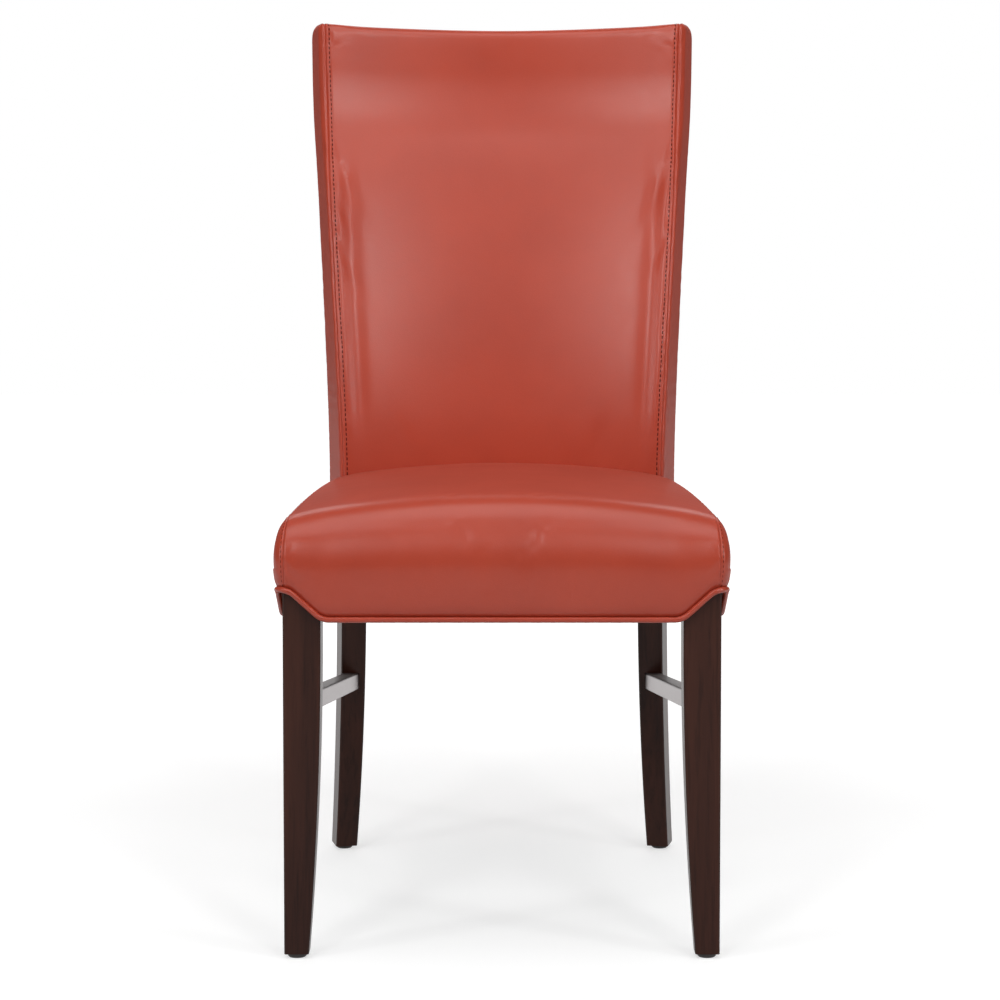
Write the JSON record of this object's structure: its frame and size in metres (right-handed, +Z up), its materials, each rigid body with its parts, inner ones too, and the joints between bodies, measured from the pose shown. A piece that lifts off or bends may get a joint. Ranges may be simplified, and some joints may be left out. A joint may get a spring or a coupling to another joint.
{
  "type": "dining chair",
  "caption": "Armless leather dining chair with a tall curved raked back, boxed crowned seat, tapered dark wood legs and slim steel side stretchers.",
  "frame": {"origin": "on the floor, at the middle of the overall width and depth", "axes": "+Z up; -Y is the front of the seat; +X is the sitter's left"},
  "size_m": [0.4822, 0.6649, 1.042],
  "materials": {
    "leather": "satin",
    "show_wood": "satin",
    "frame_wood": "matte",
    "bar_steel": "satin",
    "fastener_steel": "satin",
    "plug_plastic": "matte",
    "glide_plastic": "satin",
    "webbing": "matte",
    "lining_cloth": "matte",
    "foam": "matte"
  },
  "bodies": {
    "root": {"front_leg_left": "show_wood", "front_leg_right": "show_wood", "rear_post_left": "show_wood", "rear_post_right": "show_wood", "front_rail": "frame_wood", "side_rail_left": "frame_wood", "side_rail_right": "frame_wood", "rear_rail": "frame_wood", "lower_back_rail": "frame_wood", "mid_back_rail": "frame_wood", "crest_rail": "frame_wood", "corner_blocks": "frame_wood", "corner_block_screws": "fastener_steel", "stretcher_bar_left": "bar_steel", "stretcher_bar_right": "bar_steel", "stretcher_plugs": "plug_plastic", "stretcher_studs": "fastener_steel", "glides": "glide_plastic", "seat_webbing_long": "webbing", "seat_webbing_cross": "webbing", "back_webbing": "webbing", "dust_cover": "lining_cloth", "seat_foam": "foam", "seat_rail_padding": "foam", "back_foam": "foam", "back_wrap": "foam", "seat_cover_main": "leather", "seat_cover_side_left": "leather", "seat_cover_side_right": "leather", "back_cover_front": "leather", "back_cover_rear": "leather", "back_cover_side_left": "leather", "back_cover_side_right": "leather", "seat_welt": "leather", "back_welt": "leather"}
  },
  "joints": []
}
